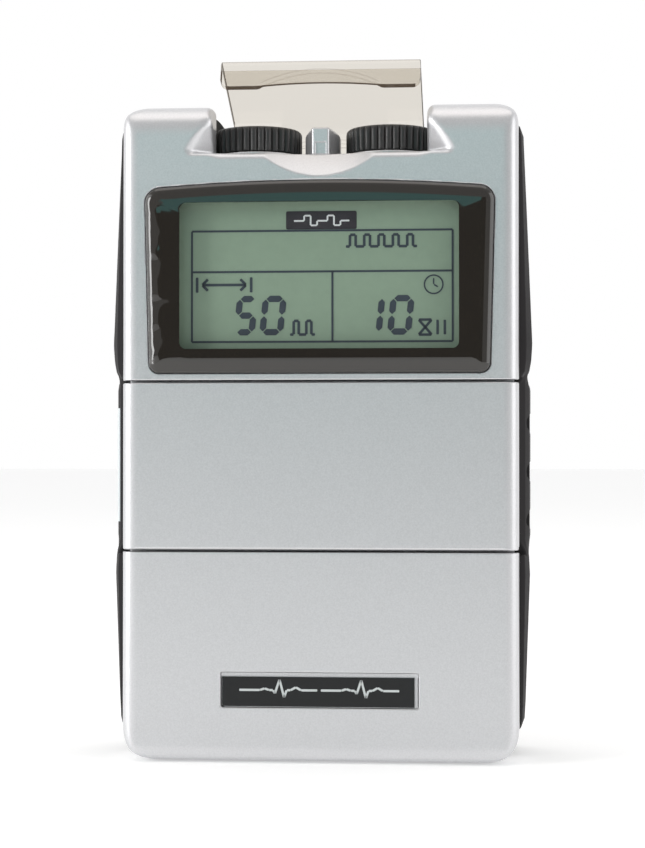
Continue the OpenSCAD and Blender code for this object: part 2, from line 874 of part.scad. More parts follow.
front_case();
rear_case();
grip_left();
grip_right();
panel_door();
door_wire();
guard_cover();
knob(-1);  // knob_left
knob(1);  // knob_right
pot_shaft(-1);  // pot_shaft_left
pot_shaft(1);  // pot_shaft_right
pot(-1);  // pot_left
pot(1);  // pot_right
control_board();
board_header();
display_lens();
lcd_glass();
lcd_frame();
zebra_strip();
nameplate();
side_label();
main_board();
board_chips();
capacitors();
transformer_cores();
transformer_windings();
tact_switches();
push_button(button_xs[0]);  // button_mode
push_button(button_xs[1]);  // button_set
push_button(button_xs[2]);  // button_down
push_button(button_xs[3]);  // button_up
lead_socket(-1);  // socket_left
lead_socket(1);  // socket_right
battery();
battery_contacts();
battery_ribbon();
battery_door();
belt_clip();
clip_pin();
clip_spring();
case_screws();
board_screws();
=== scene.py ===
"""Looks of the pocket nerve stimulator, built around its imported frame.

Shapes are written in millimetres: x runs to the right, d is the depth behind the front
face of the case and z is the height. A mesh is turned into metres when it is made.
A "field" is a function of x, d and z that is negative inside a solid.
"""
import json
import math

import bpy
import numpy as np
from mathutils import Matrix, Vector


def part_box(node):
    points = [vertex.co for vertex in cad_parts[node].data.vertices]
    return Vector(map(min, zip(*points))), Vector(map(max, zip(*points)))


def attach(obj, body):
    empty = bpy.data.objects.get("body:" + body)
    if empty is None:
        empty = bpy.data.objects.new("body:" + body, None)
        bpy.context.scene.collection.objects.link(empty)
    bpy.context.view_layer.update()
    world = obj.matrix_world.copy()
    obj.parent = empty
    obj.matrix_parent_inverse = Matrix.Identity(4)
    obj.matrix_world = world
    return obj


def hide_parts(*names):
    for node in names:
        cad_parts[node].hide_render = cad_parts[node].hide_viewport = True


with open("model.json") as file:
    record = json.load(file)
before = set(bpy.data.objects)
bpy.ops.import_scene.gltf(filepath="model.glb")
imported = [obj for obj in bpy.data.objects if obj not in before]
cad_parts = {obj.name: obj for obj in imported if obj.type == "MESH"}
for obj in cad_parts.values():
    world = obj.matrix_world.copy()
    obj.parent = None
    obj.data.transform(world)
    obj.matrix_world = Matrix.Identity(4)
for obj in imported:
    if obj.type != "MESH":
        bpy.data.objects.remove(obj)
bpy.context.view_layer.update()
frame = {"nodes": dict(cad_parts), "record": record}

MM = 0.001


def node_box(node):
    """Lowest and highest corner of a CAD node in millimetres, as two (x, y, z) tuples."""
    low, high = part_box(node)
    return tuple(v / MM for v in low), tuple(v / MM for v in high)


# ---------------------------------------------------------------- sizes taken from the frame
case_low, case_high = node_box("front_case")
FRONT_Y = case_low[1]
HALF_W = case_high[0]
TOP_Z = case_high[2]
SPLIT_D = case_high[1] - FRONT_Y
DEPTH = node_box("battery_door")[1][1] - FRONT_Y
PANEL_LOW, PANEL_HIGH = (corner[2] for corner in node_box("panel_door"))
PANEL_BACK_D = node_box("panel_door")[1][1] - FRONT_Y
WIRE_LOW, WIRE_HIGH = node_box("door_wire")
WIRE_R = (WIRE_HIGH[2] - WIRE_LOW[2]) / 2
WIRE_Z = (WIRE_HIGH[2] + WIRE_LOW[2]) / 2
WIRE_D = (WIRE_HIGH[1] + WIRE_LOW[1]) / 2 - FRONT_Y
WIRE_GAP = 0.06
GRIP_HALF = node_box("grip_right")[1][0]
GRIP_SEAT = node_box("grip_right")[0][0]
GRIP_LOW, GRIP_HIGH = (corner[2] for corner in node_box("grip_right"))
GRIP_FRONT, GRIP_BACK = (corner[1] - FRONT_Y for corner in node_box("grip_right"))
KNOB_R = (node_box("knob_right")[1][0] - node_box("knob_right")[0][0]) / 2
KNOB_X = node_box("knob_right")[1][0] - KNOB_R
KNOB_LOW, KNOB_HIGH = (corner[2] for corner in node_box("knob_right"))
LENS_FRONT_D = node_box("display_lens")[0][1] - FRONT_Y
LENS_BACK_D = node_box("display_lens")[1][1] - FRONT_Y
LENS_LOW, LENS_CREST = (corner[2] for corner in node_box("display_lens"))
LENS_HALF = node_box("display_lens")[1][0]
LCD_D = node_box("lcd_glass")[0][1] - FRONT_Y

WALL = 1.8
BAY_LOW = PANEL_LOW - 0.35
BAY_HIGH = PANEL_HIGH + 0.4
PLATE_D = 4.3
PLATE_BACK = 5.9
SHELF = 1.6
RECESS_HALF = 16.5
RECESS_Z = 93.3
POCKET_R = KNOB_R + 0.7
COLLAR_R = 7.2
COLLAR_TOP = 94
POST_TOP = 97.6
NAME_SEAT = (-15, 15.2, 8.3, 13.7)
BUTTON_XS = (-19, -6.5, 6.5, 19)
BUTTON_Z = 45
BUTTON_R = 3.5


# ---------------------------------------------------------------- field arithmetic
def length2(a, b):
    """Length of a two-part vector."""
    return np.sqrt(a * a + b * b)


def rect(u, v, u0, u1, v0, v1, r=0.0):
    """Rounded rectangle. r is one radius, or four: low left, low right, high right, high left."""
    cu, cv = (u0 + u1) / 2, (v0 + v1) / 2
    if isinstance(r, tuple):
        low = np.where(u < cu, r[0], r[1])
        high = np.where(u < cu, r[3], r[2])
        r = np.where(v < cv, low, high)
    qu = np.abs(u - cu) - (u1 - u0) / 2 + r
    qv = np.abs(v - cv) - (v1 - v0) / 2 + r
    return length2(np.maximum(qu, 0), np.maximum(qv, 0)) + np.minimum(np.maximum(qu, qv), 0) - r


def both(a, b, r=0.0):
    """Where two fields overlap, with the edge rounded to radius r."""
    u, v = np.maximum(a + r, 0), np.maximum(b + r, 0)
    return np.minimum(np.maximum(a, b), -r) + length2(u, v)


def either(a, b, r=0.0):
    """Two fields joined, with the inner corner filled to radius r."""
    return -both(-a, -b, r)


def cut(a, b, r=0.0):
    """The first field without the second, with the rim rounded to radius r."""
    return both(a, -b, r)


def blend_max(a, b, k):
    """The larger of two fields, with the crease between them eased over k."""
    h = np.maximum(k - np.abs(a - b), 0) / k
    return np.maximum(a, b) + h * h * k / 4


def slab(u, u0, u1):
    """Everything between two parallel planes."""
    return np.abs(u - (u0 + u1) / 2) - (u1 - u0) / 2


def block(x, d, z, x0, x1, d0, d1, z0, z1, r=0.0):
    """Box with rounded edges."""
    return both(rect(x, d, x0, x1, d0, d1, r), slab(z, z0, z1), r)


def ramp(v, v0, v1):
    """0 before v0, 1 after v1, with an eased step between them."""
    t = np.clip((v - v0) / (v1 - v0), 0, 1)
    return t * t * (3 - 2 * t)


# ---------------------------------------------------------------- meshes
def grid_lines(low, high, step, finer=()):
    """Grid lines from low to high, closer together inside each (from, to, step) of finer."""
    points = [low]
    while points[-1] < high:
        here = points[-1]
        points.append(here + min([step] + [s for a, b, s in finer if a - step < here < b]))
    return np.array(points)


def net(field, lines):
    """Vertices and quads of a field's zero surface, one vertex in each cell it passes through."""
    f = field(*np.meshgrid(*lines, indexing="ij"))
    inside = f < 0
    size = np.array(f.shape)
    corners = [(i, j, k) for i in (0, 1) for j in (0, 1) for k in (0, 1)]
    count = sum(
        inside[i:size[0] - 1 + i, j:size[1] - 1 + j, k:size[2] - 1 + k].astype(np.int8)
        for i, j, k in corners
    )
    active = (count > 0) & (count < 8)
    cells = np.argwhere(active)
    index = np.full(active.shape, -1)
    index[active] = np.arange(len(cells))
    total, hits = np.zeros((len(cells), 3)), np.zeros(len(cells))
    quads = []
    for axis in range(3):
        u, v = (axis + 1) % 3, (axis + 2) % 3
        step = np.eye(3, dtype=int)
        for i in (0, 1):
            for j in (0, 1):
                a = cells + i * step[u] + j * step[v]
                b = a + step[axis]
                fa, fb = f[tuple(a.T)], f[tuple(b.T)]
                crossed = (fa < 0) != (fb < 0)
                t = (fa / np.where(crossed, fa - fb, 1))[crossed]
                point = np.stack([lines[n][a[crossed, n]] for n in range(3)], 1)
                start = lines[axis][a[crossed, axis]]
                point[:, axis] = start + t * (lines[axis][b[crossed, axis]] - start)
                total[crossed] += point
                hits[crossed] += 1
        low = np.take(inside, range(size[axis] - 1), axis)
        high = np.take(inside, range(1, size[axis]), axis)
        edges = np.argwhere(low != high)
        kept = (edges[:, u] > 0) & (edges[:, v] > 0)
        kept &= (edges[:, u] < size[u] - 1) & (edges[:, v] < size[v] - 1)
        edges = edges[kept]
        ring = [edges, edges - step[u], edges - step[u] - step[v], edges - step[v]]
        quad = np.stack([index[tuple(e.T)] for e in ring], 1)
        outward = low[tuple(edges.T)]
        quads.append(np.where(outward[:, None], quad, quad[:, ::-1]))
    return total / hits[:, None], np.concatenate(quads)


def slope(field, p, reach=0.01):
    """A field's gradient at points p."""
    g = np.empty_like(p)
    for axis in range(3):
        step = np.zeros(3)
        step[axis] = reach
        g[:, axis] = (field(*(p + step).T) - field(*(p - step).T)) / (2 * reach)
    return g


def make_mesh(name, points, faces, smooth=True, normals=None):
    """A new object from points in (x, d, z) millimetres."""
    verts = np.array(points, float)
    verts[:, 1] += FRONT_Y
    mesh = bpy.data.meshes.new(name)
    mesh.from_pydata((verts * MM).tolist(), [], [list(map(int, f)) for f in faces])
    if smooth:
        mesh.polygons.foreach_set("use_smooth", [True] * len(mesh.polygons))
    if normals is not None:
        mesh.normals_split_custom_set_from_vertices(normals.tolist())
    mesh.update()
    obj = bpy.data.objects.new(name, mesh)
    bpy.context.scene.collection.objects.link(obj)
    return obj


def field_mesh(name, field, lines):
    """An object from a field: its net, drawn onto the surface, with the field's own normals."""
    points, quads = net(field, lines)
    for _ in range(3):
        g = slope(field, points)
        norm = np.maximum((g * g).sum(1), 0.2)
        move = (-field(*points.T) / norm)[:, None] * g
        points = points + np.clip(move, -0.25, 0.25)
    g = slope(field, points)
    normals = g / np.maximum(np.linalg.norm(g, axis=1), 1e-6)[:, None]
    return make_mesh(name, points, quads, normals=normals)


def shade_by_angle(obj, degrees):
    """Smooth faces, kept sharp where they meet at more than an angle."""
    obj.data.polygons.foreach_set("use_smooth", [True] * len(obj.data.polygons))
    obj.data.set_sharp_from_angle(angle=math.radians(degrees))


def bevel(obj, width, segments=2):
    """Round an object's edges, and keep the result as its mesh."""
    modifier = obj.modifiers.new("bevel", "BEVEL")
    modifier.width = width * MM
    modifier.segments = segments
    modifier.limit_method = "ANGLE"
    modifier.angle_limit = math.radians(35)
    graph = bpy.context.evaluated_depsgraph_get()
    mesh = bpy.data.meshes.new_from_object(obj.evaluated_get(graph))
    obj.modifiers.clear()
    obj.data = mesh
    shade_by_angle(obj, 40)


# ---------------------------------------------------------------- materials
def material(name, color, roughness, metallic=0.0, coat=0.0, **sockets):
    """A Principled material with its base colour, roughness, metallic, coat and any further sockets set.
    """
    mat = bpy.data.materials.new(name)
    mat.use_nodes = True
    shader = mat.node_tree.nodes["Principled BSDF"]
    shader.inputs["Base Color"].default_value = (*color, 1)
    shader.inputs["Roughness"].default_value = roughness
    shader.inputs["Metallic"].default_value = metallic
    shader.inputs["Coat Weight"].default_value = coat
    for socket, value in sockets.items():
        shader.inputs[socket.replace("_", " ")].default_value = value
    return mat


def add_noise(mat, scale, color_spread=0.0, rough_spread=0.0, bump=0.0, bump_mm=0.02, detail=2.0):
    """Fine noise on a material's colour, roughness and surface, at a scale in cells per metre."""
    tree = mat.node_tree
    shader = tree.nodes["Principled BSDF"]
    place = tree.nodes.new("ShaderNodeTexCoord")
    noise = tree.nodes.new("ShaderNodeTexNoise")
    noise.inputs["Scale"].default_value = scale
    noise.inputs["Detail"].default_value = detail
    tree.links.new(place.outputs["Object"], noise.inputs["Vector"])
    if color_spread:
        base = shader.inputs["Base Color"].default_value[:3]
        mix = tree.nodes.new("ShaderNodeMix")
        mix.data_type = "RGBA"
        mix.inputs["A"].default_value = (*[c * (1 - color_spread) for c in base], 1)
        mix.inputs["B"].default_value = (*[min(1, c * (1 + color_spread)) for c in base], 1)
        tree.links.new(noise.outputs["Fac"], mix.inputs["Factor"])
        tree.links.new(mix.outputs["Result"], shader.inputs["Base Color"])
    if rough_spread:
        middle = shader.inputs["Roughness"].default_value
        spread = tree.nodes.new("ShaderNodeMapRange")
        spread.inputs["To Min"].default_value = middle - rough_spread
        spread.inputs["To Max"].default_value = middle + rough_spread
        tree.links.new(noise.outputs["Fac"], spread.inputs["Value"])
        tree.links.new(spread.outputs["Result"], shader.inputs["Roughness"])
    if bump:
        bumps = tree.nodes.new("ShaderNodeBump")
        bumps.inputs["Strength"].default_value = bump
        bumps.inputs["Distance"].default_value = bump_mm * MM
        tree.links.new(noise.outputs["Fac"], bumps.inputs["Height"])
        tree.links.new(bumps.outputs["Normal"], shader.inputs["Normal"])
    return mat


def srgb(*channels):
    """Linear colour from display values of 0 to 255."""
    return tuple(((c / 255 + 0.055) / 1.055) ** 2.4 if c > 10 else c / 255 / 12.92 for c in channels)


def silver_paint():
    mat = material("silver_paint", srgb(212, 212, 214), 0.36, metallic=0.75, coat=0.15,
                   Coat_Roughness=0.25)
    return add_noise(mat, 4200, color_spread=0.12, rough_spread=0.06, bump=0.3, bump_mm=0.012)


def black_shell():
    mat = material("black_shell", srgb(40, 40, 41), 0.5, Specular_IOR_Level=0.4)
    return add_noise(mat, 2600, color_spread=0.12, rough_spread=0.06, bump=0.5, bump_mm=0.03)


def grip_rubber():
    mat = material("grip_rubber", srgb(38, 36, 37), 0.55, IOR=1.22)
    return add_noise(mat, 1800, color_spread=0.12, rough_spread=0.08, bump=0.35, bump_mm=0.03)


def knob_plastic():
    mat = material("knob_plastic", srgb(44, 43, 43), 0.34)
    return add_noise(mat, 3000, color_spread=0.15, rough_spread=0.06, bump=0.2, bump_mm=0.02)


def lens_print():
    mat = material("lens_print", srgb(32, 28, 23), 0.04, coat=0.7, Coat_Roughness=0.02)
    return add_noise(mat, 260, color_spread=0.12, detail=3)


def clear_sheet(name, face_tint, edge_tint, sharpness, gloss_low, gloss_high):
    """Clear plastic: each face passes a little less light, and less still where seen edge-on."""
    mat = bpy.data.materials.new(name)
    mat.use_nodes = True
    tree = mat.node_tree
    tree.nodes.remove(tree.nodes["Principled BSDF"])
    edge = tree.nodes.new("ShaderNodeLayerWeight")
    edge.inputs["Blend"].default_value = 0.5
    sharpen = tree.nodes.new("ShaderNodeMath")
    sharpen.operation = "POWER"
    sharpen.inputs[1].default_value = sharpness
    tree.links.new(edge.outputs["Facing"], sharpen.inputs[0])
    tint = tree.nodes.new("ShaderNodeMix")
    tint.data_type = "RGBA"
    tint.inputs["A"].default_value = (*face_tint, 1)
    tint.inputs["B"].default_value = (*edge_tint, 1)
    tree.links.new(sharpen.outputs["Value"], tint.inputs["Factor"])
    clear = tree.nodes.new("ShaderNodeBsdfTransparent")
    tree.links.new(tint.outputs["Result"], clear.inputs["Color"])
    gloss = tree.nodes.new("ShaderNodeBsdfGlossy")
    gloss.inputs["Roughness"].default_value = 0.03
    share = tree.nodes.new("ShaderNodeMapRange")
    share.inputs["To Min"].default_value = gloss_low
    share.inputs["To Max"].default_value = gloss_high
    tree.links.new(sharpen.outputs["Value"], share.inputs["Value"])
    mix = tree.nodes.new("ShaderNodeMixShader")
    tree.links.new(share.outputs["Result"], mix.inputs["Fac"])
    tree.links.new(clear.outputs["BSDF"], mix.inputs[1])
    tree.links.new(gloss.outputs["BSDF"], mix.inputs[2])
    tree.links.new(mix.outputs["Shader"], tree.nodes["Material Output"].inputs["Surface"])
    return mat


SILVER = silver_paint()
BLACK = black_shell()
RUBBER = grip_rubber()
KNOB = knob_plastic()
LENS_PRINT = lens_print()
WINDOW = clear_sheet("window_clear", (0.985, 0.99, 0.985), (0.9, 0.9, 0.9), 5.0, 0.04, 0.6)
SMOKE = clear_sheet("smoky_clear", (0.905, 0.885, 0.85), (0.28, 0.22, 0.17), 5.0, 0.03, 0.4)
# Opaque brown for the guard's edge faces: painted shade standing in for the darkness of the clear sheet
# seen edge-on.
GUARD_EDGE_PAINTED_SHADE = add_noise(material("guard_edge_painted_shade", srgb(96, 84, 72), 0.2), 1500, color_spread=0.1)
LCD = add_noise(material("lcd_green", srgb(140, 160, 141), 0.35), 900, color_spread=0.05)
INK = add_noise(material("lcd_ink", srgb(52, 60, 72), 0.4), 2500, color_spread=0.12)
TAB = add_noise(material("lcd_tab", srgb(44, 38, 46), 0.4), 2500, color_spread=0.12)
NAME_BLACK = add_noise(material("name_black", srgb(30, 31, 32), 0.3, Specular_IOR_Level=0.3), 1500,
                       color_spread=0.1)
NAME_PALE = add_noise(material("name_pale", srgb(196, 201, 201), 0.35), 1500, color_spread=0.05)
LABEL = add_noise(material("label_film", srgb(214, 220, 222), 0.4), 1200, color_spread=0.03)
STEEL = add_noise(material("steel", (0.62, 0.62, 0.62), 0.25, metallic=1.0), 1500, rough_spread=0.1)
BUTTON = add_noise(material("button_rubber", srgb(88, 94, 102), 0.5), 2000, color_spread=0.08,
                   bump=0.3)
PALE_MARK = add_noise(material("pale_mark", srgb(225, 228, 230), 0.5), 1500, color_spread=0.04)


def dress(obj, mat, body):
    """Give a new piece its material and the body that it rides on."""
    obj.data.materials.append(mat)
    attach(obj, body)
    return obj


# ---------------------------------------------------------------- case
def outer_form(x, d, z):
    """The closed case: three rounded profiles, with the creases between them eased."""
    ease = 1.2
    front = rect(x, z, -HALF_W, HALF_W, 0, TOP_Z, (5.5, 5.5, 4.0, 4.0))
    side = rect(d, z, 0, DEPTH, 0, TOP_Z, (2.5, 2.5, 2.5, 5.5))
    plan = rect(x, d, -HALF_W, HALF_W, 0, DEPTH, 2.5)
    return blend_max(blend_max(front, side, ease), plan, ease) - ease / 4


def knob_recess(x, d, z):
    """The space between the shoulders, flared at the front by a slanted facet on each side."""
    ax = np.abs(x)
    flare = (ax - 16.7 - 0.592 * (99.4 - z) + 0.952 * d) / 1.5
    side = -blend_max(RECESS_HALF - ax, -flare, 0.5)
    floor = np.where(d > 18.9, COLLAR_TOP, RECESS_Z) - z
    return both(floor, side, 0.7)


def finger_scoop(x, d, z):
    """A round groove in the front wall that rises towards the back."""
    radius, tilt = 19.5, math.radians(51)
    rise = (z - 89.6) * math.cos(tilt) - d * math.sin(tilt)
    return both(length2(x, rise - radius) - radius, d - 8)


def centre_post(x, d, z):
    """Post between the knobs: narrow in front, wider behind, with a small recess low down."""
    half = 1.3 + 1.4 * np.clip((d - 3.6) / 4.4, 0, 1)
    plan = both(both((np.abs(x) - half) / 1.05, 3.6 - d, 0.25), d - SPLIT_D)
    top = z - POST_TOP + 0.35 * np.maximum(np.abs(x) - 1.2, 0) ** 1.5
    post = both(plan, top, 0.35)
    return cut(post, block(x, d, z, -0.85, 0.85, 0, 3.95, 90, 95.3), 0.08)


def case_solid(x, d, z):
    """The case with its recess, knob pockets and collars, before it is hollowed."""
    ax = np.abs(x)
    solid = outer_form(x, d, z)
    facet = ramp(ax, 15.0, 17.5) * (1 - ramp(z, 97.0, 99.6))
    rim = 1.25 - 0.6 * facet - 0.9 * ramp(d, 6, 8) * (1 - ramp(z, 96, 99))
    solid = cut(solid, knob_recess(x, d, z), rim)
    knob = length2(ax - KNOB_X, d - SPLIT_D)
    solid = cut(solid, both(knob - POCKET_R, RECESS_Z - z), 0.35)
    collar = both(knob - COLLAR_R, z - COLLAR_TOP, 0.2)
    return either(solid, both(collar, 92 - z), 0.15)


def lens_outline(x, z):
    """The lens seen from the front: slanted sides, arched top."""
    half = LENS_HALF - 0.75 * (88 - z) / 28.5
    top = LENS_CREST - x * x / 614
    return both(both(np.abs(x) - half, z - top, 2.2), LENS_LOW - z, 1.5)


def grip_seat(x, d, z):
    """Where each grip is let into the side of the case."""
    return block(np.abs(x), d, z, GRIP_SEAT, HALF_W + 5, GRIP_FRONT, GRIP_BACK, GRIP_LOW, GRIP_HIGH)


def front_case_field(x, d, z):
    """The hollow front shell, with its bay, lens seat, nameplate seat and holes."""
    ax = np.abs(x)
    solid = case_solid(x, d, z)
    solid = cut(solid, finger_scoop(x, d, z), 0.15)
    solid = either(solid, both(centre_post(x, d, z), 92 - z), 0.25)
    shell = cut(solid, solid + WALL)
    plate = rect(d, z, PLATE_D, PLATE_BACK, BAY_LOW - SHELF, BAY_HIGH + SHELF)
    shelf = rect(d, z, 1, PLATE_BACK, BAY_HIGH, BAY_HIGH + SHELF)
    wall = rect(d, z, 1, SPLIT_D, BAY_LOW - SHELF, BAY_LOW)
    ribs = np.maximum(np.minimum(np.minimum(plate, shelf), wall), solid)
    shell = np.minimum(shell, ribs)
    bay = rect(d, z, -5, PLATE_D, BAY_LOW, BAY_HIGH)
    shell = cut(shell, bay, 0.12)
    for at in BUTTON_XS:
        hole = length2(x - at, z - BUTTON_Z) - BUTTON_R - 0.3
        shell = cut(shell, both(hole, slab(d, 0, 8)), 0.15)
    outline = lens_outline(x, z)
    shell = cut(shell, both(outline - 0.06, d - 1.2), 0.12)
    shell = cut(shell, both(rect(x, z, -21.9, 21.9, 62.6, 86), d - 3))
    name = both(rect(x, z, *NAME_SEAT, 0.3), d - 0.5)
    shell = cut(shell, name, 0.12)
    shell = cut(shell, grip_seat(x, d, z))
    holes = np.minimum(
        both(length2(ax - KNOB_X, d - SPLIT_D) - 2, 90 - z),
        both(length2(ax - 23.2, d - SPLIT_D) - 3.05, 88 - z),
    )
    return both(cut(shell, holes, 0.1), d - SPLIT_D)


def make_front_case():
    seams = [(BAY_LOW - 0.5, BAY_LOW + 0.3, 0.12), (BAY_HIGH - 0.3, BAY_HIGH + 0.5, 0.12)]
    top = [(RECESS_Z - 2.4, RECESS_Z + 1.2, 0.2), (RECESS_Z + 1.2, TOP_Z + 1, 0.3)]
    name = [(NAME_SEAT[2] - 0.3, NAME_SEAT[3] + 0.4, 0.22)]
    lens = [(LENS_LOW - 0.3, LENS_LOW + 1.8, 0.2), (86, LENS_CREST + 0.4, 0.25)]
    edges = [(-HALF_W - 1, -HALF_W + 3, 0.3), (HALF_W - 3, HALF_W + 1, 0.3)]
    lens_sides = [(-27.3, -25.5, 0.2), (25.5, 27.3, 0.2)]
    lines = (
        grid_lines(-HALF_W - 1, HALF_W + 1, 0.45, edges + lens_sides + [(-3, 3, 0.2)]),
        grid_lines(-0.7, SPLIT_D + 0.7, 0.4, [(-0.5, 1.8, 0.17), (3.4, 4.6, 0.2)]),
        grid_lines(-1, TOP_Z + 1, 0.45, seams + top + name + lens),
    )
    obj = field_mesh("front_case_shell", front_case_field, lines)
    dress(obj, SILVER, "case")
    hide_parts("front_case")


# ---------------------------------------------------------------- flip panel
def panel_field(x, d, z):
    """The flip panel: skin, side returns, slots for the lugs and the wire's bore."""
    ax = np.abs(x)
    solid = outer_form(x, d, z)
    skin = rect(d, z, -3, 1.7, PANEL_LOW, PANEL_HIGH, 0.2)
    sides = both(rect(d, z, -3, PANEL_BACK_D, PANEL_LOW + 0.4, PANEL_HIGH, 0.3), 28.9 - ax)
    panel = both(solid, np.minimum(skin, sides), 0.22)
    low_edge = rect(d, z, 0, 30, PANEL_LOW, 90, 0.45)
    panel = np.maximum(panel, np.where(z < PANEL_LOW + 1, low_edge, -9))
    slot = both(slab(ax, 26.3, 28.1), both(0.35 - d, z - PANEL_LOW - 2))
    wire = both(length2(d - WIRE_D, z - WIRE_Z) - WIRE_R - WIRE_GAP, ax - WIRE_HIGH[0] - 0.3)
    return cut(cut(panel, slot), wire)


def make_panel():
    ends = [(PANEL_LOW - 0.3, PANEL_LOW + 1.2, 0.12), (PANEL_HIGH - 0.8, PANEL_HIGH + 0.4, 0.12)]
    edges = [(-HALF_W - 1, -HALF_W + 4.4, 0.25), (HALF_W - 4.4, HALF_W + 1, 0.25)]
    lines = (
        grid_lines(-HALF_W - 0.6, HALF_W + 0.6, 0.5, edges),
        grid_lines(-0.6, PANEL_BACK_D + 0.5, 0.2, [(WIRE_D - 0.5, WIRE_D + 0.5, 0.07)]),
        grid_lines(PANEL_LOW - 0.6, PANEL_HIGH + 0.6, 0.5,
                   ends + [(WIRE_Z - 0.5, WIRE_Z + 0.5, 0.07)]),
    )
    obj = field_mesh("flip_panel_skin", panel_field, lines)
    dress(obj, SILVER, "flip_panel")
    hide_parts("panel_door")


# ---------------------------------------------------------------- grips
GRIP_HEIGHTS = (GRIP_LOW, 6.5, 9.0, 28.6, 31.6, 34.5, 57.0, 59.2, 61.5, 64.0, 84.0, 96.0, GRIP_HIGH)
GRIP_BULGES = (0.25, 0.85, 1.0, 1.7, 1.55, 1.9, 1.95, 1.55, 1.95, 2.1, 1.3, 0.8, 0.25)


def grip_reach(d, z):
    """How far a grip's outer surface stands from the middle of the case."""
    bulge = np.interp(z, GRIP_HEIGHTS, GRIP_BULGES)
    waist = ramp(z, 31.2, 34.2) * (1 - ramp(z, 57.6, 60.0))
    front = np.interp(d, (GRIP_FRONT, 3.2, 5.4), (0.0, 0.55, 1.0))
    slant = np.interp(d, (4.3, 5.3, 6.8, 9.0, 12.0), (0.0, 0.5, 0.84, 0.95, 1.0))
    share = front * (1 - waist) + slant * waist
    return HALF_W + bulge * share * np.interp(d, (18.0, 21.2, GRIP_BACK), (1.0, 0.8, 0.1))


def grip_field(x, d, z, dimples):
    """The right grip, cut back beside the flip panel and dimpled down its side."""
    skin = (x - grip_reach(d, z)) / 1.15
    ends = rect(d, z, GRIP_FRONT, GRIP_BACK, GRIP_LOW, GRIP_HIGH, 1.2)
    grip = both(both(skin, ends, 0.35), GRIP_SEAT - x)
    notch = rect(d, z, -5, 4.3, BAY_LOW - 0.4, BAY_HIGH + 0.4, 0.2)
    grip = cut(grip, notch, 0.2)
    for at in dimples:
        reach = length2(np.maximum(np.abs(d - 11) - 3.6, 0), (z - at) * np.interp(d, (6, 9), (1.5, 1)))
        depth = 0.6 * ramp(1.55 - reach, 0.0, 0.35)
        grip = np.maximum(grip, np.where(reach < 1.6, skin + depth, grip))
    return grip


def make_grip(name, node, side, dimples):
    def field(x, d, z):
        return grip_field(x * side, d, z, dimples)
    low, high = GRIP_SEAT - 0.5, GRIP_HALF + 0.5
    across = grid_lines(low, high, 0.2) if side > 0 else grid_lines(-high, -low, 0.2)
    lines = (
        across,
        grid_lines(GRIP_FRONT - 0.6, GRIP_BACK + 0.6, 0.35),
        grid_lines(GRIP_LOW - 0.6, GRIP_HIGH + 0.6, 0.4),
    )
    obj = field_mesh(name, field, lines)
    dress(obj, RUBBER, "case")
    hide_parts(node)


def make_label():
    """Film on the left waist, bent to the grip below it."""
    low, high = node_box("side_label")
    ds = np.linspace(5.6, high[1] - FRONT_Y, 60)
    zs = np.linspace(low[2], high[2], 24)
    d, z = np.meshgrid(ds, zs, indexing="ij")
    reach = grip_reach(d, z)
    points, faces = [], []
    for lift in (0.12, -0.1):
        points += list(zip(-(reach + lift).ravel(), d.ravel(), z.ravel()))
    columns, rows = d.shape
    layer = columns * rows
    for i in range(columns - 1):
        for j in range(rows - 1):
            a, b = i * rows + j, (i + 1) * rows + j
            faces += [(a, a + 1, b + 1, b), (layer + a, layer + b, layer + b + 1, layer + a + 1)]
    rim = [i * rows for i in range(columns)]
    rim += [(columns - 1) * rows + j for j in range(1, rows)]
    rim += [i * rows + rows - 1 for i in reversed(range(columns - 1))]
    rim += list(reversed(range(1, rows - 1)))
    for a, b in zip(rim, rim[1:] + rim[:1]):
        faces.append((a, b, layer + b, layer + a))
    obj = make_mesh("side_label_film", points, faces)
    shade_by_angle(obj, 40)
    dress(obj, LABEL, "case")
    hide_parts("side_label")


# ---------------------------------------------------------------- knobs
def make_knob(name, node, body, side):
    """A turned knob: ribs round its rim, a rounded top edge and a shallow dished top."""
    ribs, around = 36, 36 * 10
    turns = np.arange(around) * 2 * math.pi / around
    wave = np.abs(np.cos(turns * ribs / 2)) ** 0.7
    profile = [(0.92, 0.0, 0.0), (0.985, 0.0, 0.6), (1.0, 0.25, 1.0), (1.0, 3.0, 1.0),
               (0.992, 3.35, 0.9), (0.965, 3.65, 0.55), (0.93, 3.82, 0.2), (0.88, 3.9, 0.0),
               (0.78, 3.9, 0.0), (0.74, 3.78, 0.0), (0.3, 3.7, 0.0)]
    groove = 0.42
    points, faces = [], []
    for share, height, ribbed in profile:
        radius = KNOB_R * share - groove * ribbed * (1 - wave)
        height = KNOB_LOW + height * (KNOB_HIGH - KNOB_LOW) / 3.9
        points += [(side * KNOB_X + r * math.cos(t), SPLIT_D + r * math.sin(t), height)
                   for r, t in zip(radius, turns)]
    for ring in range(len(profile) - 1):
        for i in range(around):
            j = (i + 1) % around
            a, b = ring * around, (ring + 1) * around
            faces.append((a + i, a + j, b + j, b + i))
    faces.append(tuple(range(around))[::-1])
    faces.append(tuple(range((len(profile) - 1) * around, len(profile) * around)))
    obj = make_mesh(name, points, faces)
    shade_by_angle(obj, 50)
    dress(obj, KNOB, body)
    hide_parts(node)
    mark = make_mesh(name + "_mark", *box_mesh(
        side * KNOB_X - 0.3, side * KNOB_X + 0.3, SPLIT_D - 5.2, SPLIT_D - 2.4,
        KNOB_HIGH - 0.22, KNOB_HIGH - 0.08), smooth=False)
    bevel(mark, 0.05)
    dress(mark, PALE_MARK, body)


def box_mesh(x0, x1, d0, d1, z0, z1):
    """Points and faces of a box."""
    points = [(x, d, z) for x in (x0, x1) for d in (d0, d1) for z in (z0, z1)]
    faces = [(0, 1, 3, 2), (4, 6, 7, 5), (0, 4, 5, 1), (2, 3, 7, 6), (0, 2, 6, 4), (1, 5, 7, 3)]
    return points, faces


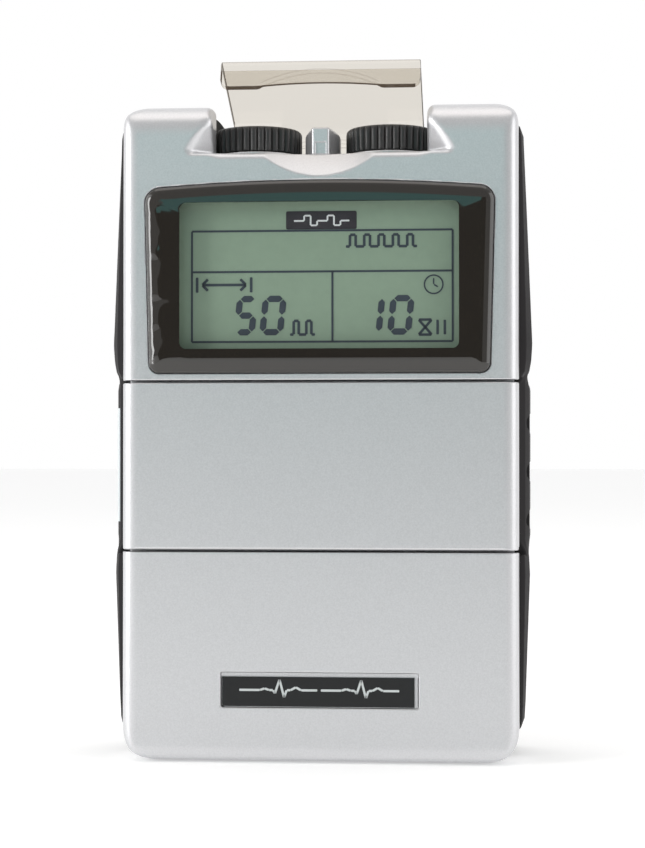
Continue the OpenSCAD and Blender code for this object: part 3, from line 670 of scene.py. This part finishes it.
# ---------------------------------------------------------------- guard cover
HINGE_D, HINGE_Z = 20.6, 95.6
GUARD_TOP, GUARD_FRONT, GUARD_T = 100.9, 0.23, 1.2
GUARD_HALF, GUARD_FLANGE, GUARD_OPEN = 15.5, 5.0, 23.0


def guard_field(x, d, z):
    """The closed guard: a bent sheet with a finger lip in its front flange."""
    back = HINGE_D + 1.3
    bow = 0.55 * np.clip(1 - (x / 9.8) ** 2, 0, 1)
    bottom = GUARD_TOP - GUARD_FLANGE
    lip = np.clip((bottom + 5.0 * bow - z) / 0.7 + 0.5, 0, 1)
    dent = 0.55 * lip * ramp(bow, 0.0, 0.12)
    outer = rect(d + dent, z, GUARD_FRONT, back, 80, GUARD_TOP, (0.1, 0.1, 1.2, 1.3))
    inner = rect(d + dent, z, GUARD_FRONT + GUARD_T, back - GUARD_T, 79, GUARD_TOP - GUARD_T,
                 (0.1, 0.1, 0.4, 0.5))
    sheet = cut(outer, inner)
    low = np.where(d < 10, bottom + bow, HINGE_Z) - z
    sheet = both(sheet, low, 0.2)
    sheet = both(sheet, np.abs(x) - GUARD_HALF, 0.2)
    corner = rect(x, z, -GUARD_HALF, GUARD_HALF, bottom, 130, 1.4)
    sheet = np.where(d < 3, np.maximum(sheet, corner), sheet)
    barrel = both(length2(d - HINGE_D, z - HINGE_Z) - 1.3, np.abs(x) - GUARD_HALF, 0.2)
    pin = both(length2(d - HINGE_D, z - HINGE_Z) - 0.8, np.abs(x) - 17.9, 0.15)
    return np.minimum(either(sheet, barrel, 0.3), pin)


def make_guard():
    ends = [(-18.2, -13.5, 0.16), (13.5, 18.2, 0.16)]
    lines = (
        grid_lines(-18.4, 18.4, 0.4, ends),
        grid_lines(-1.2, 22.5, 0.4, [(-1.2, 2.4, 0.13), (18.8, 22.5, 0.16)]),
        grid_lines(93.9, 101.4, 0.16),
    )
    obj = field_mesh("guard_sheet", guard_field, lines)
    obj.data.materials.append(SMOKE)
    obj.data.materials.append(GUARD_EDGE_PAINTED_SHADE)
    # Faces along the flange's lower rim and the sheet's sides take the opaque brown, a painted shade
    # where the clear sheet is seen edge-on.
    for face in obj.data.polygons:
        x, y, z = (v / MM for v in face.center)
        d = y - FRONT_Y
        bow = 0.55 * max(1 - (x / 9.8) ** 2, 0)
        low = d < 1.7 and z < GUARD_TOP - GUARD_FLANGE + bow + 0.12
        side = abs(x) > GUARD_HALF - 0.12 and d < 19
        if (low or side) and d > GUARD_FRONT + 0.1:
            face.material_index = 1
    turn = math.radians(-GUARD_OPEN)
    y0, z0 = (FRONT_Y + HINGE_D) * MM, HINGE_Z * MM
    place = Matrix.Translation((0, y0, z0)) @ Matrix.Rotation(turn, 4, "X")
    obj.data.transform(place @ Matrix.Translation((0, -y0, -z0)))
    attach(obj, "guard")
    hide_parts("guard_cover")


# ---------------------------------------------------------------- display
WINDOW_BOX = (-21.3, 21.4, 63.1, 85.5)
PILLOW_W = 2.6


def ring(outline, level, angles, centre):
    """Points where an outline's field is -level, along rays from a centre."""
    near, far = np.zeros(len(angles)), np.full(len(angles), 60.0)
    for _ in range(40):
        middle = (near + far) / 2
        inside = outline(centre[0] + middle * np.cos(angles),
                         centre[1] + middle * np.sin(angles)) < -level
        near, far = np.where(inside, middle, near), np.where(inside, far, middle)
    return centre[0] + near * np.cos(angles), centre[1] + near * np.sin(angles)


def ring_angles(outline, centre, count):
    """Ray angles spaced evenly along an outline, so that its corners are as fine as its sides."""
    dense = np.linspace(0, 2 * math.pi, 4001)
    x, z = ring(outline, 0, dense, centre)
    bend = np.abs(np.diff(np.unwrap(np.arctan2(np.diff(z), np.diff(x)))))
    walk = length2(np.diff(x), np.diff(z))[1:] + 6 * bend
    along = np.concatenate([[0], np.cumsum(walk)])
    return np.interp(np.arange(count) / count * along[-1], along, dense[1:])


def window_outline(x, z):
    """The clear window in the lens, seen from the front."""
    return rect(x, z, *WINDOW_BOX, 1.0)


def make_lens():
    """Lens with a pillowed rim, a black printed border and a clear window."""
    centre, count = (0.0, 74.3), 560
    angles = ring_angles(lens_outline, centre, count)
    raise_mm = -LENS_FRONT_D
    edge_x, edge_z = ring(lens_outline, 0.0, angles, centre)
    wave = 0.16 * np.sin(edge_z * 1.1) + 0.1 * np.sin(edge_z * 2.3 + 1) * np.cos(edge_z * 0.4)
    wobble = 1 + wave * ramp(-edge_x, 22, 26)
    insets = (0.02, 0.06, 0.16, 0.32, 0.55, 0.85, 1.2, 1.6, 2.05, PILLOW_W)
    rings = [(ring(lens_outline, 0.0, angles, centre), LENS_BACK_D)]
    rings.append((ring(lens_outline, 0.0, angles, centre), 0.0))
    for inset in insets:
        rise = raise_mm * math.sqrt(max(1 - (1 - inset / PILLOW_W) ** 2, 0))
        level = inset * (wobble if 0.1 < inset < PILLOW_W else 1)
        rings.append((ring(lens_outline, level, angles, centre), -rise))
    rings.append((ring(window_outline, 0.0, angles, centre), -raise_mm))
    back = ring(window_outline, -0.4, angles, centre)
    rings.insert(0, (back, LENS_BACK_D))
    points, faces = [], []
    for (x, z), d in rings:
        points += list(zip(x, np.full(count, d), z))
    for n in range(len(rings) - 1):
        for i in range(count):
            j = (i + 1) % count
            a, b = n * count, (n + 1) * count
            faces.append((a + i, b + i, b + j, a + j))
    sides = len(faces)
    last = (len(rings) - 1) * count
    faces.append(tuple(range(last, last + count)))
    faces.append(tuple(range(count))[::-1])
    obj = make_mesh("lens_body", points, faces)
    obj.data.materials.append(LENS_PRINT)
    obj.data.materials.append(WINDOW)
    for face in (sides, sides + 1):
        obj.data.polygons[face].material_index = 1
    shade_by_angle(obj, 40)
    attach(obj, "case")
    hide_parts("display_lens")


def prism(outline, d0, d1):
    """Points and faces of a flat piece: an (x, z) outline, anticlockwise from the front."""
    count = len(outline)
    points = [(x, d0, z) for x, z in outline] + [(x, d1, z) for x, z in outline]
    faces = [tuple(range(count)), tuple(range(count, 2 * count))[::-1]]
    faces += [(i, i + count, (i + 1) % count + count, (i + 1) % count) for i in range(count)]
    return points, faces


def bar(x0, z0, x1, z1, width, tip=0.5):
    """Outline of a straight stroke with pointed ends."""
    dx, dz = x1 - x0, z1 - z0
    length = math.hypot(dx, dz)
    ux, uz = dx / length, dz / length
    h = width / 2
    along = ((0, 0), (tip * width, h), (length - tip * width, h), (length, 0),
             (length - tip * width, -h), (tip * width, -h))
    return [(x0 + ux * a - uz * b, z0 + uz * a + ux * b) for a, b in along][::-1]


def plate_mesh(name, outlines, d0, d1):
    """One object from several flat outlines."""
    points, faces = [], []
    for outline in outlines:
        p, f = prism(outline, d0, d1)
        faces += [tuple(i + len(points) for i in face) for face in f]
        points += p
    return make_mesh(name, points, faces, smooth=False)


def frame_outline(x0, x1, z0, z1, r=0.3, steps=4):
    """Rounded rectangle outline, anticlockwise from the front."""
    out = []
    for cx, cz, start in ((x1 - r, z0 + r, -90), (x1 - r, z1 - r, 0), (x0 + r, z1 - r, 90),
                          (x0 + r, z0 + r, 180)):
        for n in range(steps + 1):
            t = math.radians(start + 90 * n / steps)
            out.append((cx + r * math.cos(t), cz + r * math.sin(t)))
    return out


SEGMENTS = {"0": "abcdef", "1": "bc", "5": "acdfg"}


def digit(mark, x0, x1, z0, z1, width=0.98, slant=math.tan(math.radians(6))):
    """Strokes of one slanted seven-segment digit."""
    gap = 0.1
    middle = (z0 + z1) / 2
    h = width / 2
    left, right = x0 + h, x1 - h
    ends = {
        "a": (left + gap, z1 - h, right - gap, z1 - h), "g": (left + gap, middle, right - gap, middle),
        "d": (left + gap, z0 + h, right - gap, z0 + h),
        "f": (left, middle + gap, left, z1 - h - gap), "e": (left, z0 + h + gap, left, middle - gap),
        "b": (right, middle + gap, right, z1 - h - gap), "c": (right, z0 + h + gap, right, middle - gap),
    }
    strokes = [bar(*ends[s], width) for s in SEGMENTS[mark]]
    return [[(x + (z - z0) * slant, z) for x, z in s] for s in strokes]


def stroke(points, width):
    """Outlines of a line through points."""
    return [bar(*a, *b, width, 0.2) for a, b in zip(points, points[1:])]


def pulse_train(x0, x1, z0, z1, pulses):
    """Corners of a row of square pulses."""
    step = (x1 - x0) / pulses
    points = [(x0, z0)]
    for n in range(pulses):
        x = x0 + n * step
        points += [(x + 0.3 * step, z0), (x + 0.3 * step, z1), (x + 0.7 * step, z1),
                   (x + 0.7 * step, z0)]
    return points + [(x1, z0)]


def make_display():
    """Everything shown on the liquid crystal glass: rules, digits, a clock and a tab."""
    ink = []
    ink += [frame_outline(-19.8, 20.4, z - 0.16, z + 0.16, 0.05, 1) for z in (64.3, 75.1, 81.4)]
    ink += [frame_outline(x - 0.16, x + 0.16, 64.3, 81.4, 0.05, 1) for x in (-19.8, 20.4)]
    ink += [frame_outline(1.8, 2.12, 64.3, 75.1, 0.05, 1)]
    ink += digit("5", -13.4, -10.1, 65.3, 71.4) + digit("0", -9.4, -5.7, 65.3, 71.4)
    ink += digit("1", 7.2, 9.5, 65.3, 71.4) + digit("0", 10.3, 14.0, 65.3, 71.4)
    rim = [(17.5 + 1.42 * math.cos(t), 73.0 + 1.42 * math.sin(t))
           for t in np.arange(24) * math.pi / 12]
    ink += [bar(*rim[i], *rim[(i + 1) % 24], 0.24, 0.0) for i in range(24)]
    ink += [bar(17.5, 73.0, 17.5, 74.0, 0.24), bar(17.5, 73.0, 18.2, 72.6, 0.24)]
    ink += stroke(pulse_train(4.0, 15.0, 78.9, 80.7, 5), 0.42)
    ink += stroke([(-19.0, 71.9), (-19.0, 74.3)], 0.42) + stroke([(-10.6, 71.9), (-10.6, 74.3)], 0.42)
    ink += stroke([(-18.2, 73.1), (-11.4, 73.1)], 0.42)
    ink += stroke([(-17.3, 74.0), (-18.2, 73.1), (-17.3, 72.2)], 0.42)
    ink += stroke([(-12.3, 74.0), (-11.4, 73.1), (-12.3, 72.2)], 0.42)
    ink += stroke(pulse_train(-4.6, -0.7, 65.4, 67.5, 2), 0.42)
    ink += stroke([(15.2, 67.6), (17.2, 67.6), (15.2, 65.3), (17.2, 65.3), (15.2, 67.6)], 0.4)
    ink += stroke([(18.1, 65.3), (18.1, 67.6)], 0.4) + stroke([(19.2, 65.3), (19.2, 67.6)], 0.4)
    obj = plate_mesh("lcd_marks", ink, LCD_D - 0.07, LCD_D - 0.02)
    dress(obj, INK, "case")
    tab = plate_mesh("lcd_tab", [frame_outline(-5.2, 5.7, 81.6, 84.4, 0.25)],
                     LCD_D - 0.07, LCD_D - 0.02)
    dress(tab, TAB, "case")
    wave = [(-4.0, 82.9), (-2.4, 82.9), (-2.4, 83.7), (-1.4, 83.7), (-1.4, 82.2), (-0.4, 82.2),
            (-0.4, 82.9), (1.2, 82.9), (1.2, 83.7), (2.2, 83.7), (2.2, 82.2), (3.2, 82.2),
            (3.2, 82.9), (4.6, 82.9)]
    strokes = [bar(*a, *b, 0.26, 0.3) for a, b in zip(wave, wave[1:])]
    mark = plate_mesh("lcd_tab_wave", strokes, LCD_D - 0.1, LCD_D - 0.075)
    dress(mark, PALE_MARK, "case")


def make_name_wave():
    """Pale pulse wave on the nameplate."""
    front = node_box("nameplate")[0][1] - FRONT_Y
    middle = (NAME_SEAT[2] + NAME_SEAT[3]) / 2
    heights = [0, 0, 0.25, 0, 0, -0.5, 1.6, -1.1, 0, 0, 0.45, 0, 0]
    steps = [0, 3.2, 3.9, 4.6, 5.2, 5.5, 6.2, 6.9, 7.3, 7.9, 8.7, 9.5, 12.0]
    strokes = []
    for start in (-12.2, 0.3):
        points = [(start + s, middle + h) for s, h in zip(steps, heights)]
        strokes += [bar(*a, *b, 0.34, 0.2) for a, b in zip(points, points[1:])]
    obj = plate_mesh("nameplate_wave", strokes, front - 0.03, front + 0.01)
    dress(obj, NAME_PALE, "case")


# ---------------------------------------------------------------- finish of the CAD nodes
SLOT_FINISH = {
    "silver_paint": SILVER,
    "black_shell": BLACK,
    "grip_rubber": RUBBER,
    "knob_plastic": KNOB,
    "lcd": LCD,
    "name_print": NAME_BLACK,
    "label": LABEL,
    "steel": STEEL,
    "screw_steel": add_noise(material("screw_steel", (0.45, 0.45, 0.46), 0.35, metallic=1.0),
                             1500, rough_spread=0.1),
    "board": add_noise(material("board_green", (0.02, 0.13, 0.05), 0.35), 700, color_spread=0.15),
    "chip": add_noise(material("chip_black", (0.025, 0.025, 0.027), 0.5), 1500, color_spread=0.15),
    "capacitor": add_noise(material("capacitor_sleeve", (0.02, 0.04, 0.14), 0.25), 900,
                           color_spread=0.1),
    "core": add_noise(material("ferrite", (0.07, 0.07, 0.075), 0.6), 1500, color_spread=0.2),
    "copper": add_noise(material("copper_wire", (0.6, 0.25, 0.09), 0.3, metallic=1.0), 2500,
                        color_spread=0.2, bump=0.6, bump_mm=0.1),
    "contact": add_noise(material("contact_nickel", (0.7, 0.7, 0.66), 0.25, metallic=1.0), 1200,
                         rough_spread=0.1),
    "gold": add_noise(material("gold_pins", (0.83, 0.62, 0.22), 0.25, metallic=1.0), 1200,
                      rough_spread=0.08),
    "button": BUTTON,
    "socket": add_noise(material("socket_black", (0.02, 0.02, 0.021), 0.4), 1500,
                        color_spread=0.12),
    "pot": add_noise(material("pot_body", (0.08, 0.12, 0.1), 0.45), 1200, color_spread=0.1),
    "frame_white": add_noise(material("frame_white", (0.7, 0.7, 0.67), 0.5), 900,
                             color_spread=0.03),
    "zebra": add_noise(material("zebra_rubber", (0.13, 0.13, 0.14), 0.6), 4000, color_spread=0.4),
    "battery_can": add_noise(material("battery_can", (0.07, 0.08, 0.11), 0.3, metallic=0.3), 500,
                             color_spread=0.1),
    "ribbon": add_noise(material("battery_ribbon", (0.5, 0.05, 0.05), 0.7), 5000,
                        color_spread=0.25, bump=0.5, bump_mm=0.05),
}


def finish_cad_nodes():
    """Give every shown CAD node the finish of its slot."""
    slots = {part["node"]: part["material_slot"] for part in frame["record"]["subparts"]}
    for node, obj in frame["nodes"].items():
        if obj.hide_render:
            continue
        obj.data.materials.clear()
        obj.data.materials.append(SLOT_FINISH[slots[node]])


# ---------------------------------------------------------------- stage
def make_floor():
    """Pale floor just below the base."""
    size, height = 6.0, -0.0002
    mesh = bpy.data.meshes.new("floor")
    corners = [(-size, -size, height), (size, -size, height), (size, size, height),
               (-size, size, height)]
    mesh.from_pydata(corners, [], [(0, 1, 2, 3)])
    obj = bpy.data.objects.new("floor", mesh)
    bpy.context.scene.collection.objects.link(obj)
    obj.data.materials.append(add_noise(material("floor_pale", (0.86, 0.86, 0.86), 0.7,
                                                 Emission_Color=(1, 1, 1, 1),
                                                 Emission_Strength=0.28), 3, color_spread=0.01))


def card(name, place, aim, size, color, strength):
    """A flat glowing card, aimed at a point. Lengths are metres."""
    w, h = size[0] / 2, size[1] / 2
    mesh = bpy.data.meshes.new(name)
    mesh.from_pydata([(-w, -h, 0), (w, -h, 0), (w, h, 0), (-w, h, 0)], [], [(0, 1, 2, 3)])
    obj = bpy.data.objects.new(name, mesh)
    bpy.context.scene.collection.objects.link(obj)
    obj.location = place
    obj.rotation_mode = "QUATERNION"
    obj.rotation_quaternion = (Vector(aim) - Vector(place)).to_track_quat("Z", "Y")
    mat = bpy.data.materials.new(name)
    mat.use_nodes = True
    shader = mat.node_tree.nodes["Principled BSDF"]
    shader.inputs["Base Color"].default_value = (0, 0, 0, 1)
    shader.inputs["Specular IOR Level"].default_value = 0
    shader.inputs["Emission Color"].default_value = (*color, 1)
    shader.inputs["Emission Strength"].default_value = strength
    obj.data.materials.append(mat)
    obj.visible_camera = False
    obj.visible_shadow = False
    return obj


def area_light(name, place, aim, size, color, watts):
    """Rectangular light, aimed at a point. Lengths are metres."""
    data = bpy.data.lights.new(name, "AREA")
    data.shape = "RECTANGLE"
    data.size, data.size_y = size
    data.color = color
    data.energy = watts
    obj = bpy.data.objects.new(name, data)
    bpy.context.scene.collection.objects.link(obj)
    obj.location = place
    obj.rotation_mode = "QUATERNION"
    obj.rotation_quaternion = (Vector(aim) - Vector(place)).to_track_quat("-Z", "Y")


def make_light():
    """Studio: bright behind, dimmer in front, with soft sides, a warm top and tinted cards."""
    world = bpy.data.worlds.new("studio")
    bpy.context.scene.world = world
    world.use_nodes = True
    tree = world.node_tree
    backdrop = tree.nodes["Background"]
    backdrop.inputs["Color"].default_value = (1.0, 1.0, 1.0, 1)
    place = tree.nodes.new("ShaderNodeTexCoord")
    parts = tree.nodes.new("ShaderNodeSeparateXYZ")
    fade = tree.nodes.new("ShaderNodeMapRange")
    fade.inputs["From Min"].default_value = -0.7
    fade.inputs["From Max"].default_value = 0.7
    fade.inputs["To Min"].default_value = 0.46
    fade.inputs["To Max"].default_value = 1.0
    tree.links.new(place.outputs["Generated"], parts.inputs["Vector"])
    tree.links.new(parts.outputs["Y"], fade.inputs["Value"])
    tree.links.new(fade.outputs["Result"], backdrop.inputs["Strength"])
    middle = (0, 0, 0.05)
    area_light("side_left", (-0.9, -0.3, 0.25), middle, (0.7, 0.9), (1, 1, 1), 2.6)
    area_light("side_right", (0.9, -0.3, 0.25), middle, (0.7, 0.9), (1, 1, 1), 2.6)
    area_light("top", (0, -0.1, 0.9), middle, (0.9, 0.6), (1, 0.93, 0.88), 1.6)
    card("front_dark", (0.05, -1.0, 0.13), (0, 0, 0.13), (0.9, 0.42), (1.0, 1.0, 1.0), 0.12)
    card("front_teal", (-0.04, -0.62, 0.225), (0, -0.01, 0.09), (0.34, 0.12), (0.35, 0.85, 0.83), 1.0)
    card("strip_left", (-0.62, -0.42, 0.1), middle, (0.16, 0.6), (1, 1, 1), 8)


def make_camera():
    """Camera a little to the right of the front and level with the object's middle."""
    data = bpy.data.cameras.new("camera")
    data.sensor_width = 36
    data.lens = 86
    data.clip_start, data.clip_end = 0.01, 50
    obj = bpy.data.objects.new("camera", data)
    bpy.context.scene.collection.objects.link(obj)
    obj.location = Vector((25, FRONT_Y - 308, 47)) * MM
    aim = Vector((0.6, FRONT_Y, 51.6)) * MM
    obj.rotation_mode = "QUATERNION"
    obj.rotation_quaternion = (aim - obj.location).to_track_quat("-Z", "Y")
    bpy.context.scene.camera = obj


make_front_case()
make_panel()
make_grip("grip_right_skin", "grip_right", 1, (59.0, 51.8, 44.3, 36.8))
make_grip("grip_left_skin", "grip_left", -1, (59.0,))
make_knob("knob_left_rim", "knob_left", "left_level", -1)
make_knob("knob_right_rim", "knob_right", "right_level", 1)
make_label()
make_guard()
make_lens()
make_display()
make_name_wave()
finish_cad_nodes()
make_floor()
make_light()
make_camera()
bpy.context.scene.view_settings.view_transform = "Standard"
